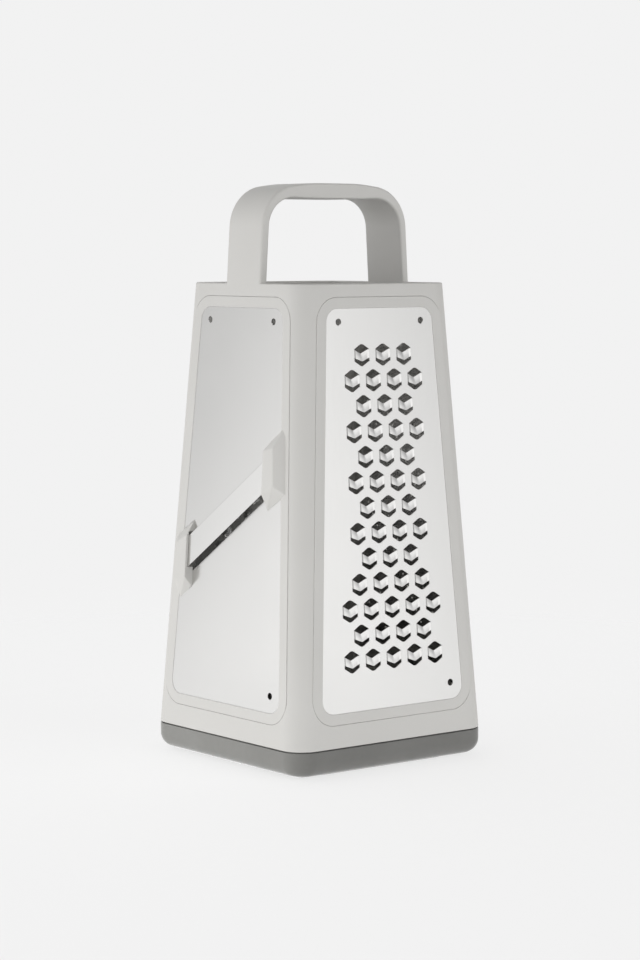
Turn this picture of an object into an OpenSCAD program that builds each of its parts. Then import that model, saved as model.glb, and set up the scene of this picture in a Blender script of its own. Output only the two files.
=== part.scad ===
// Four-sided box grater: a tapered square tower with a carrying handle, a steel plate in a frame
// on each face and a soft ring round the foot.
// X runs across the front face, Z is up, and the origin is on the table under the tower's axis.

/* [Tower] */
// Height of the tower from the foot ring to the rim
tower_h = 195; // [165:1:225]
// Width across the flats at the foot of the tower
base_w = 106.6; // [102:0.2:122]
// Width across the flats at the rim
rim_w = 82.6; // [80:0.2:94]
// Radius of the four upright corners
corner_r = 10.5; // [8.5:0.5:12]
// Thickness of the tower's wall
wall_t = 3.6; // [3.2:0.1:4.2]
// Rounding of the tower's bottom edge
foot_edge_r = 1.6; // [0.8:0.1:2]
// Rounding of the rim's outer edge
rim_edge_r = 1.2; // [0.6:0.1:1.8]

/* [Handle] */
// Height of the handle's crown above the rim
handle_rise = 42.8; // [40:0.2:60]
// Width of the handle's strap
handle_w = 24.5; // [18:0.5:30]
// Thickness of each post at the rim
post_t = 3.8; // [3.8:0.1:6]
// Thickness of the grip at its crown
grip_t = 6.7; // [6:0.1:9]
// Radius of the outer bends
bend_r = 18.5; // [12:0.5:20]
// Radius of the inner bends
inner_bend_r = 13; // [10:0.5:18]
// Fall of the grip's top from the crown to the bends
crown_drop = 3.2; // [2:0.1:4]
// Length of the level part of the crown
crown_flat = 27.4; // [24:0.2:30]
// Fall of the grip's underside from the bends to its middle
grip_sag = 0.7; // [0.3:0.1:1.2]
// Rounding of the strap's four long edges
strap_edge_r = 1.5; // [1:0.1:1.8]

/* [Panel frames] */
// From the tower's edge to the parting groove
groove_inset = 8; // [7.5:0.1:9]
// From the foot of the tower to the groove
groove_low = 9.65; // [8:0.05:13]
// From the groove up to the rim
groove_top = 5.6; // [5:0.1:7]
// Corner radius of the groove
groove_r = 11; // [8:0.5:14]
// Width of the groove
groove_gap = 0.2; // [0.1:0.05:0.4]
// Thickness of a panel frame
frame_t = 2.2; // [2:0.1:2.5]
// Width of the ledge that carries a frame
ledge_w = 1.8; // [1.2:0.1:2.6]

/* [Plates] */
// From the groove to the plate's edge, along each side
plate_side = 5.2; // [5:0.1:7]
// From the groove to the plate's edge, at the foot and the rim
plate_end = 4.8; // [4.2:0.1:6]
// Corner radius of a plate
plate_r = 6; // [4:0.5:8]
// Thickness of a plate
plate_t = 0.5; // [0.4:0.05:0.7]
// How far a plate lies below its frame's face
plate_drop = 0.2; // [0.1:0.05:0.4]
// Width of the lip behind a plate's edge
lip_w = 2; // [1.5:0.1:2.6]
// Diameter of the locating holes
pin_hole_d = 3; // [2:0.1:4]

/* [Coarse teeth] */
// Width of a coarse opening
coarse_w = 8.15; // [6.5:0.05:9]
// Height of a coarse opening over its points
coarse_h = 10.2; // [9:0.05:10.6]
// From one coarse opening to the next in a row
coarse_pitch = 11.54; // [11:0.02:13]
// From one coarse row to the next
coarse_row = 10.79; // [10.4:0.01:12]

/* [Fine teeth] */
// Width of a fine opening
fine_w = 4.9; // [4:0.1:5.2]
// Height of a fine opening over its points
fine_h = 6.1; // [5:0.1:6.4]
// From one fine opening to the next in a row
fine_pitch = 7.6; // [7.2:0.1:8.4]
// From one fine row to the next
fine_row = 7.1; // [6.8:0.1:7.8]

/* [Zest points] */
// Width of a raised zest point at its foot
zest_w = 2.6; // [2.2:0.1:3]
// Height of a zest point
zest_h = 1; // [0.7:0.1:1.3]
// From one zest point to the next in a row
zest_pitch = 5.6; // [5:0.1:6.6]
// From one zest row to the next
zest_row = 5.2; // [4.8:0.1:6]

/* [Slicer] */
// Angle of the blade to the horizontal
blade_angle = 34.8; // [30:0.2:38]
// Width of the blade from its crease to its edge
blade_w = 12.9; // [11:0.1:14]
// Height of the cutting edge above the plate
blade_lift = 2.8; // [1.8:0.1:3.2]
// Thickness of the blade
blade_t = 0.6; // [0.5:0.05:0.8]
// Gap from the cutting edge to the plate below it, seen square on
throat = 1.5; // [1:0.1:3]
// Height of the blade's middle up the face
blade_mid = 95.6; // [88:0.2:102]
// Place of the blade's middle across the face, from its centre line
blade_side = -1.25; // [-1.6:0.05:0]
// Height of the end caps above the frame
cap_h = 4; // [3.6:0.1:4.6]
// How far a cap's inner wall reaches over the plate
cap_over = 8.1; // [7:0.1:9]

/* [Foot ring] */
// Height of the foot ring
ring_h = 12.5; // [11:0.5:16]
// Radius of its bottom edge
ring_edge_r = 6.5; // [4:0.5:7]
// Width of the ring's section
ring_t = 12; // [10:0.5:13]
// Height of the lip that stands inside the tower
upstand_h = 8; // [5:0.5:10]
// Thickness of that lip
upstand_t = 1.6; // [1.2:0.1:2.4]
// Clearance between the lip and the tower's wall
upstand_gap = 0.3; // [0.2:0.05:0.5]
// Height of the tread under the ring
tread_h = 1; // [0.6:0.1:1.6]

/* [Hidden] */
arc_n = 6;
overrun = 1;
FRONT = 0;
RIGHT = 90;
BACK = 180;
LEFT = -90;
shell_colour = [0.84, 0.84, 0.82];
steel_colour = [0.80, 0.80, 0.79];
ring_colour = [0.50, 0.50, 0.48];

// One face of the tower leans in by this angle and is this long.
lean = (base_w - rim_w) / 2;
taper = atan(lean / tower_h);
face_l = norm([lean, tower_h]);

// Half the tower's width at a height above the foot, and at a distance up a face.
function half_z(z) = base_w / 2 - lean * z / tower_h;
function half_s(s) = base_w / 2 - lean * s / face_l;

// Unit vector, and a polygon with each corner rounded by its own radius.
function unit(v) = v / norm(v);
function turned(a, b, c) = (b - a)[0] * (c - b)[1] - (b - a)[1] * (c - b)[0];
function fillet(a, b, c, r, n) =
    let (u = unit(a - b), v = unit(c - b), half = acos(u * v) / 2)
    let (m = b + unit(u + v) * r / sin(half), from = b + u * r / tan(half) - m)
    let (start = atan2(from[1], from[0]), sweep = (180 - 2 * half) * sign(turned(a, b, c)))
    [for (k = [0 : n]) m + r * [cos(start + sweep * k / n), sin(start + sweep * k / n)]];
function rounded(p, r, n = arc_n) =
    [for (i = [0 : len(p) - 1])
        let (a = p[(i + len(p) - 1) % len(p)], b = p[i], c = p[(i + 1) % len(p)])
        each r[i] > 0 ? fillet(a, b, c, r[i], n) : [b]];
function all_four(r) = [r, r, r, r];

// A solid through a stack of outlines that all have the same number of points.
module loft(rings) {
    n = len(rings[0]);
    last = len(rings) - 1;
    bottom = [for (k = [0 : n - 1]) k];
    top = [for (k = [n - 1 : -1 : 0]) last * n + k];
    sides = [for (j = [0 : last - 1]) for (k = [0 : n - 1])
        [j * n + k, (j + 1) * n + k, (j + 1) * n + (k + 1) % n, j * n + (k + 1) % n]];
    polyhedron(points = [for (g = rings) each g], faces = concat([bottom, top], sides), convexity = 8);
}

// The tower's outline at a height above its foot, drawn in by an inset.
function square_at(z, inset, r) =
    let (a = half_z(z) - inset)
    [for (p = rounded([[-a, -a], [a, -a], [a, a], [-a, a]], all_four(r))) [p[0], p[1], z]];
function shell_ring(z, inset) = square_at(z, inset, corner_r - inset);

// Lays a child on a face: X across, Y up the face from its foot, Z outwards.
module on_face(turn)
    translate([0, 0, ring_h]) rotate([0, 0, turn]) translate([0, -base_w / 2, 0])
        rotate([90 - taper, 0, 0]) children();

// An outline on a face that keeps the same distance from both tapered edges.
function panel(inset, low, high, r) =
    rounded([[inset - half_s(low), low], [half_s(low) - inset, low],
        [half_s(high) - inset, high], [inset - half_s(high), high]], all_four(r));
groove_high = face_l - groove_top;
plate_inset = groove_inset + plate_side;
plate_low = groove_low + plate_end;
plate_high = groove_high - plate_end;
module groove_outline(gap)
    polygon(panel(groove_inset + gap, groove_low + gap, groove_high - gap, groove_r - gap));
module plate_outline(gap)
    polygon(panel(plate_inset + gap, plate_low + gap, plate_high - gap, plate_r - gap));

// Tower.
edge_steps = 3;
module tower_solid() {
    foot = [for (k = [0 : edge_steps]) let (a = 90 * k / edge_steps)
        shell_ring(foot_edge_r * (1 - cos(a)), foot_edge_r * (1 - sin(a)))];
    rim = [for (k = [0 : edge_steps]) let (a = 90 * k / edge_steps)
        shell_ring(tower_h - rim_edge_r * (1 - sin(a)), rim_edge_r * (1 - cos(a)))];
    loft(concat(foot, rim));
}
module tower_hollow() loft([shell_ring(-overrun, wall_t), shell_ring(tower_h + overrun, wall_t)]);
module tower_body() color(shell_colour) difference() {
    translate([0, 0, ring_h]) union() {
        difference() {
            tower_solid();
            tower_hollow();
        }
        handle_seat(1);
        handle_seat(-1);
    }
    for (turn = [FRONT, RIGHT, BACK, LEFT]) on_face(turn) {
        translate([0, 0, -frame_t]) linear_extrude(frame_t + overrun) groove_outline(0);
        translate([0, 0, -wall_t * 2]) linear_extrude(wall_t * 3) groove_outline(ledge_w);
    }
}

// Handle: a strap whose section is swept from one post over the grip to the other.
seat_h = 5;
crown_z = tower_h + handle_rise;
bend_z = crown_z - crown_drop;
crown_r = 90;
bend_n = 9;
crown_n = 3;
strap_n = 4;
function arch(x, z_bend, z_crown, r) =
    let (top_x = x - (z_bend - tower_h) * lean / tower_h, flat_x = crown_flat / 2)
    let (p = [[-x, tower_h], [-top_x, z_bend], [-flat_x, z_crown],
        [flat_x, z_crown], [top_x, z_bend], [x, tower_h]])
    [p[0], each fillet(p[0], p[1], p[2], r, bend_n), each fillet(p[1], p[2], p[3], crown_r, crown_n),
        each fillet(p[2], p[3], p[4], crown_r, crown_n), each fillet(p[3], p[4], p[5], r, bend_n), p[5]];
function strap_section(o, i) =
    let (t = norm(o - i) / 2, w = handle_w / 2, d = unit(o - i), m = (o + i) / 2)
    [for (p = rounded([[-t, -w], [t, -w], [t, w], [-t, w]], all_four(strap_edge_r), strap_n))
        [m[0] + d[0] * p[0], p[1], m[1] + d[1] * p[0]]];
module handle() color(shell_colour) translate([0, 0, ring_h]) {
    inner_z = crown_z - grip_t;
    outer = arch(rim_w / 2, bend_z, crown_z, bend_r);
    inner = arch(rim_w / 2 - post_t, inner_z + grip_sag, inner_z, inner_bend_r);
    loft([for (k = [0 : len(outer) - 1]) strap_section(outer[k], inner[k])]);
}
// The tower's wall is thickened under each post, flush with its face.
module handle_seat(side) mirror([side > 0 ? 0 : 1, 0, 0]) {
    low = tower_h - seat_h;
    loft([strap_section([half_z(low), low], [half_z(low) - post_t, low]),
        strap_section([rim_w / 2, tower_h], [rim_w / 2 - post_t, tower_h])]);
}

// A frame fills the rebate in one face. Its lip carries the plate from behind.
plate_fit = 0.05;
module frame_ring(turn) on_face(turn) translate([0, 0, -frame_t]) difference() {
    linear_extrude(frame_t) difference() {
        groove_outline(groove_gap);
        plate_outline(lip_w);
    }
    translate([0, 0, frame_t - plate_drop - plate_t]) linear_extrude(frame_t) plate_outline(0);
}
module coarse_frame() color(shell_colour) frame_ring(FRONT);
module fine_frame() color(shell_colour) frame_ring(BACK);
module zest_frame() color(shell_colour) frame_ring(RIGHT);

// The slicer's frame also holds the two end caps, one the other turned half round. A cap's outline
// and its flat top are given from the inner wall and from the blade's middle.
cap_u = half_s(blade_mid) - plate_inset - cap_over;
cap_foot_u = 11.8;
cap_shoulder_u = 10.4;
cap_peak_u = 7.8;
cap_ridge_u = 7.3;
cap_low = 3.8;
cap_foot = 11.4;
cap_shoulder = 30.6;
cap_peak = 38.6;
cap_top = 33;
cap_flat_low = 10.8;
cap_flat_high = 29.2;
cap_ridge_low = 14.6;
cap_ridge_high = 30.8;
module cap_solid() {
    base = [[cap_u, cap_low], [cap_u + cap_foot_u, cap_foot], [cap_u + cap_shoulder_u, cap_shoulder],
        [cap_u + cap_peak_u, cap_peak], [cap_u, cap_top]];
    flat = [[cap_u, cap_flat_low], [cap_u + cap_ridge_u, cap_ridge_low],
        [cap_u + cap_ridge_u, cap_ridge_high], [cap_u, cap_flat_high]];
    hull() {
        translate([0, 0, -plate_drop]) linear_extrude(plate_drop) polygon(base);
        translate([0, 0, cap_h - plate_t]) linear_extrude(plate_t) polygon(flat);
    }
}
module on_blade() on_face(LEFT) translate([blade_side, blade_mid, 0]) children();
module slicer_frame() color(shell_colour) {
    frame_ring(LEFT);
    on_blade() difference() {
        for (turn = [0, 180]) rotate([0, 0, turn]) cap_solid();
        blade_bar(pocket_fit);
    }
}

// Plates.
module plate_blank(turn) on_face(turn) translate([0, 0, -plate_drop - plate_t])
    linear_extrude(plate_t) difference() {
        plate_outline(plate_fit);
        children();
    }
// Two locating holes at the top and one at the right foot, at these distances from the plate's edges.
pin_side = 6.45;
pin_top = 5.7;
pin_low = 7.2;
pin_n = 24;
module pin_hole(side, s)
    translate([side * (half_s(s) - plate_inset - pin_side), s]) circle(d = pin_hole_d, $fn = pin_n);
module pin_holes() {
    pin_hole(-1, plate_high - pin_top);
    pin_hole(1, plate_high - pin_top);
    pin_hole(1, plate_low + pin_low);
}

// Openings in staggered rows, as many rows as the plate has height for above field_low. Each row
// holds as many openings as the tapered plate has room for, inside field_side from the tower's edge.
field_low = 18;
field_side = 21.9;
function in_row(row, s, pitch, w) =
    let (most = floor((2 * (half_s(s) - field_side) - w) / pitch) + 1)
    most - ((most + row + 1) % 2);
function places(top, row_h, pitch, w) =
    let (top_s = plate_high - top, last = floor((top_s - plate_low - field_low) / row_h))
    [for (row = [0 : last]) let (s = top_s - row * row_h, n = in_row(row, s, pitch, w))
        for (k = [0 : n - 1]) [(k - (n - 1) / 2) * pitch, s]];

// An upright hexagon with rounded top and bottom points.
side_share = 0.51;
tip_r_share = 0.2;
tip_n = 3;
function opening(w, h) =
    let (y = h * side_share / 2, tip = w * tip_r_share)
    rounded([[-w / 2, -y], [0, -h / 2], [w / 2, -y], [w / 2, y], [0, h / 2], [-w / 2, y]],
        [0, tip, 0, 0, tip, 0], tip_n);

// A tooth is a strip bridged across the opening and folded along its middle. Its shares are the
// heights of its upper edge at the ends and at the fold, of its lower edge likewise, and how far
// the fold's lower end stands out and its upper end dips in.
coarse_shares = [0.255, 0.062, -0.1, -0.245, 0.05, 0.08];
// A fine tooth is a hood over the whole opening, with its mouth under its lower edge.
fine_shares = [0.255, 0.5, -0.255, -0.58, 0.22, 0];
module tooth(w, h, shares) {
    x = w / 2 + plate_t / 2;
    skin = [[-x, h * shares[0], 0], [-x, h * shares[2], 0], [0, h * shares[3], w * shares[4]],
        [x, h * shares[2], 0], [x, h * shares[0], 0], [0, h * shares[1], -w * shares[5]]];
    under = [for (p = skin) p - [0, 0, plate_t]];
    outside = [[0, 5, 2], [0, 2, 1], [5, 4, 2], [4, 3, 2]];
    inside = [for (f = outside) [f[0], f[2], f[1]] + [6, 6, 6]];
    walls = [for (k = [0 : 5]) [k, (k + 1) % 6, (k + 1) % 6 + 6, k + 6]];
    polyhedron(points = concat(skin, under), faces = concat(outside, inside, walls), convexity = 4);
}
module grating(turn, spots, w, h, shares) {
    plate_blank(turn) {
        pin_holes();
        for (spot = spots) translate(spot) polygon(opening(w, h));
    }
    on_face(turn) translate([0, 0, -plate_drop]) for (spot = spots) translate(spot) tooth(w, h, shares);
}
// The coarse field sits a little to the right of the plate's middle.
coarse_top = 19.9;
coarse_side = 1;
module coarse_plate() color(steel_colour) {
    rows = places(coarse_top, coarse_row, coarse_pitch, coarse_w);
    spots = [for (p = rows) p + [coarse_side, 0]];
    grating(FRONT, spots, coarse_w, coarse_h, coarse_shares);
}
fine_top = 17;
module fine_plate() color(steel_colour) {
    spots = places(fine_top, fine_row, fine_pitch, fine_w);
    grating(BACK, spots, fine_w, fine_h, fine_shares);
}

// Zest points are punched outwards round a small hole.
zest_top = 18;
zest_tip_share = 0.62;
zest_hole_share = 0.36;
zest_sides = 4;
module zest_point() {
    foot = plate_t / 2;
    hole_d = zest_w * zest_hole_share;
    difference() {
        translate([0, 0, -foot])
            cylinder(h = foot + zest_h, d1 = zest_w, d2 = zest_w * zest_tip_share, $fn = zest_sides);
        translate([0, 0, -plate_t]) cylinder(h = plate_t + zest_h + overrun, d = hole_d, $fn = zest_sides);
    }
}
module zest_plate() color(steel_colour) {
    spots = places(zest_top, zest_row, zest_pitch, zest_w);
    plate_blank(RIGHT) {
        pin_holes();
        for (spot = spots) translate(spot) circle(d = zest_w * zest_hole_share, $fn = zest_sides);
    }
    on_face(RIGHT) translate([0, 0, -plate_drop]) for (spot = spots) translate(spot) zest_point();
}

// Slicer: the plate is cut away below the crease, and the blade bridges the cut. It laps behind the
// plate above the crease, climbs a ramp and ends in a ground edge. Its ends are tucked into the caps.
crease_v = 7.6;
lap = 2.6;
ramp_w = 2.2;
grind_w = 2.6;
edge_t = 0.1;
tuck = 3;
pocket_fit = 0.05;
slot_w = blade_w + throat;
module slicer_plate() color(steel_colour) plate_blank(LEFT) {
    pin_holes();
    translate([blade_side, blade_mid]) intersection() {
        rotate(blade_angle) translate([-face_l / 2, crease_v - slot_w]) square([face_l, slot_w]);
        square([2 * (cap_u + tuck + pocket_fit), face_l], center = true);
    }
}
function blade_profile(fit) = [
    [-lap, -plate_t + fit], [pocket_fit, -plate_t + fit], [pocket_fit, -pocket_fit + fit],
    [ramp_w, blade_lift + fit], [blade_w + fit, blade_lift + fit],
    [blade_w + fit, blade_lift - edge_t - fit], [blade_w - grind_w, blade_lift - blade_t - fit],
    [ramp_w + blade_t / 2, blade_lift - blade_t - fit],
    [0, -plate_t - blade_t - fit], [-lap, -plate_t - blade_t - fit]];
module blade_bar(fit) intersection() {
    translate([0, 0, -plate_drop]) rotate(blade_angle) translate([-face_l / 4, crease_v, 0])
        rotate([90, 0, 90]) linear_extrude(face_l / 2) mirror([1, 0]) polygon(blade_profile(fit));
    cube([2 * (cap_u + tuck + fit), face_l, cap_h * 4], center = true);
}
module slicing_blade() color(steel_colour) on_blade() blade_bar(0);

// Foot ring: flush with the tower, rounded under, with a lip inside the tower and a tread.
tread_inset = 9;
tread_r = 14;
bead_r = 0.6;
ring_n = 4;
lip_out = wall_t + upstand_gap;
lip_in = lip_out + upstand_t;
lip_out_r = corner_r - wall_t;
lip_in_r = lip_out_r - upstand_t / 2;
lip_lean = upstand_h * tan(taper);
function ring_outline(z, inset, r) = [for (p = square_at(0, inset, r)) [p[0], p[1], z]];
function under_edge(a) =
    let (inset = ring_edge_r * (1 - sin(a)))
    ring_outline(tread_h + ring_edge_r * (1 - cos(a)), inset, corner_r - inset);
module base_ring() color(ring_colour) difference() {
    union() {
        loft([for (k = [0 : ring_n]) under_edge(90 * k / ring_n),
            ring_outline(ring_h - bead_r, 0, corner_r), ring_outline(ring_h, bead_r, corner_r - bead_r)]);
        loft([ring_outline(0, tread_inset, tread_r), ring_outline(tread_h + overrun, tread_inset, tread_r)]);
        loft([ring_outline(ring_h - overrun, lip_out, lip_out_r),
            ring_outline(ring_h + upstand_h, lip_out + lip_lean, lip_out_r)]);
    }
    loft([ring_outline(-overrun, ring_t, corner_r), ring_outline(ring_h / 2, ring_t, corner_r),
        ring_outline(ring_h, lip_in, lip_in_r),
        ring_outline(ring_h + upstand_h + overrun, lip_in + lip_lean, lip_in_r)]);
}

tower_body();
handle();
coarse_frame();
slicer_frame();
fine_frame();
zest_frame();
coarse_plate();
slicer_plate();
fine_plate();
zest_plate();
slicing_blade();
base_ring();
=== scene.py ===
# %% [markdown]
# # A four-sided box grater
#
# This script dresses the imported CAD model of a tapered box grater: a moulded tower with a carrying
# handle, a steel plate in a frame on each face, a slicing blade under two caps and a soft foot ring.
# The CAD model gives every place and size. The cells below make the finishes, the pieces and the
# studio, one at a time.

# %% Load the frame
import math

import bmesh
import bpy
from mathutils import Matrix, Vector


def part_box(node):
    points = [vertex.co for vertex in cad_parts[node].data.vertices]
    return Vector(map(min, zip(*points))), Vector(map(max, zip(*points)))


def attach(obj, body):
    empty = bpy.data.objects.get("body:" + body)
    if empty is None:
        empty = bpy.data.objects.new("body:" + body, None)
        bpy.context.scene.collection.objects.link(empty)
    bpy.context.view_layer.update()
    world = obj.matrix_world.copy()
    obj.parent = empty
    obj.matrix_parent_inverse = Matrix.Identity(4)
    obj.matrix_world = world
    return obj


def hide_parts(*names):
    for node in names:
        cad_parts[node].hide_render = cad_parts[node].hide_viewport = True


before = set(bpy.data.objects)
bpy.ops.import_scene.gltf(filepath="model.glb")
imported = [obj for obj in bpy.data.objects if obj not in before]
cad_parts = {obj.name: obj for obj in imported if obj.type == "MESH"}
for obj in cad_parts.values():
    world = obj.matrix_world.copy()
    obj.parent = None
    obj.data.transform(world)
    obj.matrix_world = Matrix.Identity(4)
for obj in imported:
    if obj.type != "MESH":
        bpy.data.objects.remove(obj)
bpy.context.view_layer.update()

# %% [markdown]
# ## Sizes
#
# Every length is in metres and is written in millimetres times MM. What the CAD boxes can tell is
# read from them, so that the scene follows the frame. The rest repeats the drawing's own values.

# %% Driving sizes
MM = 0.001

foot_low, foot_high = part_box("tower_body")
RING_H = foot_low.z
TOWER_H = foot_high.z - foot_low.z
BASE_W = foot_high.x - foot_low.x
RIM_W = 82.6 * MM
CORNER_R = 10.5 * MM
WALL_T = 3.6 * MM
HALF_LEAN = (BASE_W - RIM_W) / 2
TAPER = math.atan(HALF_LEAN / TOWER_H)
FACE_L = math.hypot(HALF_LEAN, TOWER_H)

GROOVE_INSET = 8.0 * MM
GROOVE_LOW = 9.65 * MM
GROOVE_BELOW_RIM = 5.6 * MM
GROOVE_HIGH = FACE_L - GROOVE_BELOW_RIM
GROOVE_R = 11 * MM
FRAME_T = 2.2 * MM
FRAME_SIDE_W = 5.2 * MM
FRAME_END_W = 4.8 * MM
PLATE_INSET = GROOVE_INSET + FRAME_SIDE_W
PLATE_LOW = GROOVE_LOW + FRAME_END_W
PLATE_HIGH = GROOVE_HIGH - FRAME_END_W
PLATE_R = 6 * MM
PLATE_T = 0.5 * MM
PLATE_DROP = 0.2 * MM
print("tower", round(TOWER_H / MM, 2), "mm high, leaning in", round(math.degrees(TAPER), 2), "degrees")

# %% [markdown]
# ## Faces of the tower
#
# Everything on a face is drawn flat, as on paper, with X across and Y up the face from its foot.
# One matrix per face then stands that drawing up, turns it round the tower and leans it in.

# %% Stand a flat drawing on a face
FRONT, RIGHT, BACK, LEFT = 0, 90, 180, -90


def on_face(turn):
    """The matrix that lays a drawing on the face turned this many degrees from the front."""
    return (
        Matrix.Translation((0, 0, RING_H))
        @ Matrix.Rotation(math.radians(turn), 4, "Z")
        @ Matrix.Translation((0, -BASE_W / 2, 0))
        @ Matrix.Rotation(math.pi / 2 - TAPER, 4, "X")
    )


def half_up_face(s):
    """Half the tower's width at a distance up a face."""
    return BASE_W / 2 - HALF_LEAN * s / FACE_L


def half_at_height(z):
    """Half the tower's width at a height above its foot."""
    return BASE_W / 2 - HALF_LEAN * z / TOWER_H


print("half width at the foot and the rim:", half_at_height(0), half_at_height(TOWER_H))

# %% [markdown]
# ## Outlines with round corners
#
# Moulded and punched parts have round corners. A helper turns a few corner points into an outline
# whose corners are arcs. Because every outline made by one call has the same number of points,
# outlines can be stacked and joined by a skin of four-sided faces, which shades cleanly.


# %% Round the corners of an outline
def corner_arc(before, corner, after, radius, steps):
    """Points of the arc that rounds one corner."""
    a, b, c = Vector(before), Vector(corner), Vector(after)
    u, v = (a - b).normalized(), (c - b).normalized()
    half = u.angle(v) / 2
    middle = b + (u + v).normalized() * radius / math.sin(half)
    start = b + u * radius / math.tan(half) - middle
    turn = (b - a).x * (c - b).y - (b - a).y * (c - b).x
    sweep = math.copysign(math.pi - 2 * half, turn)
    return [middle + Matrix.Rotation(sweep * k / steps, 2) @ start for k in range(steps + 1)]


def rounded(corners, radius, steps=12):
    """A closed outline with every corner rounded by one radius."""
    count = len(corners)
    points = []
    for i in range(count):
        points += corner_arc(corners[i - 1], corners[i], corners[(i + 1) % count], radius, steps)
    return points


def square(half):
    """The corners of a square about the middle."""
    return [(-half, -half), (half, -half), (half, half), (-half, half)]


def panel(inset, low, high, radius):
    """An outline on a face, at one distance from both tapered edges."""
    wide, narrow = half_up_face(low) - inset, half_up_face(high) - inset
    return rounded([(-wide, low), (wide, low), (narrow, high), (-narrow, high)], radius)


def groove_outline(gap):
    """The parting groove's line on a face, a gap inside it."""
    return panel(GROOVE_INSET + gap, GROOVE_LOW + gap, GROOVE_HIGH - gap, GROOVE_R - gap)


def plate_outline(gap):
    """The plate's seat on a face, a gap inside it."""
    return panel(PLATE_INSET + gap, PLATE_LOW + gap, PLATE_HIGH - gap, PLATE_R - gap)


print("points in a panel outline:", len(groove_outline(0)))


# %% Skin a stack of outlines
WELD_WITHIN = 0.002 * MM


def at_height(outline, z):
    """A flat outline lifted to a height."""
    return [Vector((p[0], p[1], z)) for p in outline]


def quarter(steps):
    """Sine and 1 - cosine pairs along a quarter circle, for rounded edges."""
    angles = [math.pi / 2 * k / steps for k in range(steps + 1)]
    return [(math.sin(a), 1 - math.cos(a)) for a in angles]


def new_mesh(name, points, edges, faces):
    """A mesh from its points, its loose edges and its faces."""
    mesh = bpy.data.meshes.new(name)
    mesh.from_pydata(points, edges, faces)
    return mesh


def skin(name, rings, closed):
    """A mesh through rings of equal length. A closed skin joins the last ring to the first."""
    count, last = len(rings[0]), len(rings) if closed else len(rings) - 1
    points = [p for ring in rings for p in ring]
    faces = []
    for j in range(last):
        here, above = j * count, (j + 1) % len(rings) * count
        for k in range(count):
            after = (k + 1) % count
            faces.append((here + k, here + after, above + after, above + k))
    if not closed:
        faces += [tuple(range(count)), tuple(last * count + k for k in range(count))]
    mesh = new_mesh(name, points, [], faces)
    face_outwards(mesh)
    return mesh


def face_outwards(mesh):
    """Merges doubles and turns every face of a closed mesh outwards."""
    shape = bmesh.new()
    shape.from_mesh(mesh)
    bmesh.ops.remove_doubles(shape, verts=shape.verts, dist=WELD_WITHIN)
    bmesh.ops.recalc_face_normals(shape, faces=shape.faces)
    shape.to_mesh(mesh)
    shape.free()


print("skins weld points within", WELD_WITHIN / MM, "mm")

# %% [markdown]
# ## Finished pieces
#
# The frame wants each piece as a plain mesh with its object at the origin. The helpers here take
# what the modifiers show, bake it into a new mesh and drop the modifiers. Weighted Normal keeps the
# big flat faces truly flat in the shading, and the small rounded edges take up the turn.


# %% Make a finished piece
PIECES = []


def put(name, data):
    """An object for a mesh, a curve, a lamp or a camera, put in the scene."""
    thing = bpy.data.objects.new(name, data)
    bpy.context.scene.collection.objects.link(thing)
    return thing


def shown_mesh(thing):
    """A new mesh of what an object shows."""
    bpy.context.view_layer.update()
    shown = thing.evaluated_get(bpy.context.evaluated_depsgraph_get())
    return bpy.data.meshes.new_from_object(shown)


def bake(thing):
    """Replaces an object's mesh by what its modifiers show, and removes them."""
    baked = shown_mesh(thing)
    thing.modifiers.clear()
    thing.data = baked
    return thing


def smooth(thing, sharp_degrees):
    """Smooth shading with sharp edges over an angle."""
    thing.data.shade_smooth()
    thing.data.set_sharp_from_angle(angle=math.radians(sharp_degrees))


def shade(thing, sharp_degrees=38):
    """Smooth shading with the flat faces kept flat."""
    smooth(thing, sharp_degrees)
    weighted = thing.modifiers.new("flat faces", "WEIGHTED_NORMAL")
    weighted.keep_sharp = True
    weighted.weight = 100
    return bake(thing)


def finish_piece(thing, material, body, slot, *nodes):
    """Gives a piece its finish, hangs it on its body's empty and hides the CAD parts it stands for."""
    PIECES.append(thing)
    thing.data.materials.clear()
    thing.data.materials.append(material)
    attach(thing, body)
    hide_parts(*nodes)
    print(thing.name, len(thing.data.polygons), "faces for", ", ".join(nodes))


print("finished pieces so far:", len(PIECES))

# %% [markdown]
# ## Finishes
#
# Four finishes cover the grater: fine matt plastic, satin sheet steel, the ground steel of the
# blade and soft rubber. Each is a Principled shader with noise in Object coordinates, which stays
# put on the piece. Colours that are the same all over are set on the shader's own sockets.


# %% Node helpers
EVEN = (1, 1, 1)
NOISE_LOW, NOISE_HIGH = 0.3, 0.7
TONE_LOW, TONE_HIGH = 0.35, 0.65


def new_finish(name):
    """A new material, its node tree and its shader."""
    material = bpy.data.materials.new(name)
    material.use_nodes = True
    tree = material.node_tree
    return material, tree, tree.nodes["Principled BSDF"]


def fill(tree, socket, value):
    """Joins an output to an input, or sets the input's own value. None leaves it alone."""
    if isinstance(value, bpy.types.NodeSocket):
        tree.links.new(value, socket)
    elif value is not None:
        socket.default_value = value


def set_up(tree, node, **inputs):
    """Fills a node's inputs, named by their labels with _ for spaces."""
    for label, value in inputs.items():
        fill(tree, node.inputs[label.replace("_", " ")], value)
    return node


def add(tree, kind, **inputs):
    """A new node with its inputs filled by name."""
    return set_up(tree, tree.nodes.new(kind), **inputs)


def wire(tree, kind, *inputs, **settings):
    """A new node with settings, and its first inputs filled in order."""
    node = tree.nodes.new(kind)
    for label, value in settings.items():
        setattr(node, label, value)
    for socket, value in zip(node.inputs, inputs):
        fill(tree, socket, value)
    return node


def span(tree, value, low, high, to_low=0.0, to_high=1.0, kind="SMOOTHSTEP"):
    """Maps a value from one span to another, and holds it beyond the ends."""
    ends = (low, high, to_low, to_high)
    return wire(tree, "ShaderNodeMapRange", value, *ends, interpolation_type=kind).outputs["Result"]


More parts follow.
